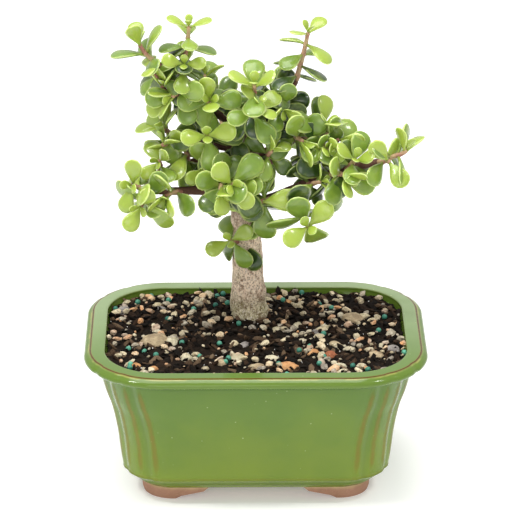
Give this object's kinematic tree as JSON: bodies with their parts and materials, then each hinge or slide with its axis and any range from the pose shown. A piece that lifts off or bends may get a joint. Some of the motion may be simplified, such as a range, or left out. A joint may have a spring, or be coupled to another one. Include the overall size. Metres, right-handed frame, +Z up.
{
  "type": "potted dwarf jade plant",
  "caption": "Small bonsai-style succulent tree with plump green leaves, growing in soil in a green glazed rectangular pot with bracket feet.",
  "frame": {"origin": "Middle of the pot's footprint, on the table the four feet rest on.", "axes": "+X runs to the right along the pot's long side, -Y is the front of the pot, +Z is up along the trunk. Metres."},
  "size_m": [0.1562, 0.1178, 0.2151],
  "materials": {
    "green_glaze": "glossy mottled green glaze, brown where it breaks on the edges, bare terracotta feet",
    "mesh_plastic": "dark moulded mesh",
    "potting_soil": "loose dark potting mix of bark, peat and grit",
    "grey_bark": "rough grey-brown bark",
    "maroon_bark": "smooth dark reddish bark",
    "leaf_green": "plump waxy leaves on pinkish young stems",
    "pebble": "matte pebble"
  },
  "bodies": {
    "root": {"drain_mesh": "mesh_plastic", "limb_back_left": "maroon_bark", "limb_back_right": "maroon_bark", "limb_high_left": "maroon_bark", "limb_low_left": "maroon_bark", "limb_low_right": "maroon_bark", "limb_mid_left": "maroon_bark", "limb_mid_right": "maroon_bark", "limb_top_left": "maroon_bark", "limb_top_right": "maroon_bark", "pot": "green_glaze", "shoot_a1": "leaf_green", "shoot_a2": "leaf_green", "shoot_a3": "leaf_green", "shoot_a4": "leaf_green", "shoot_a5": "leaf_green", "shoot_a6": "leaf_green", "shoot_a7": "leaf_green", "shoot_a8": "leaf_green", "shoot_b1": "leaf_green", "shoot_b2": "leaf_green", "shoot_c1": "leaf_green", "shoot_c2": "leaf_green", "shoot_d1": "leaf_green", "shoot_d2": "leaf_green", "shoot_d3": "leaf_green", "shoot_d4": "leaf_green", "shoot_d5": "leaf_green", "shoot_e1": "leaf_green", "shoot_e2": "leaf_green", "shoot_e3": "leaf_green", "shoot_e4": "leaf_green", "shoot_e5": "leaf_green", "shoot_e6": "leaf_green", "shoot_e7": "leaf_green", "shoot_f1": "leaf_green", "shoot_f2": "leaf_green", "shoot_f3": "leaf_green", "shoot_g1": "leaf_green", "shoot_g2": "leaf_green", "shoot_g3": "leaf_green", "shoot_h1": "leaf_green", "shoot_h2": "leaf_green", "shoot_h3": "leaf_green", "shoot_h4": "leaf_green", "shoot_h5": "leaf_green", "shoot_h6": "leaf_green", "shoot_i1": "leaf_green", "shoot_r1": "leaf_green", "shoot_r2": "leaf_green", "shoot_r3": "leaf_green", "shoot_r4": "leaf_green", "shoot_r5": "leaf_green", "shoot_r6": "leaf_green", "shoot_r7": "leaf_green", "soil": "potting_soil", "stone_broad_tan": "pebble", "stone_flat_tan": "pebble", "stone_round_grey": "pebble", "trunk": "grey_bark"}
  },
  "joints": []
}
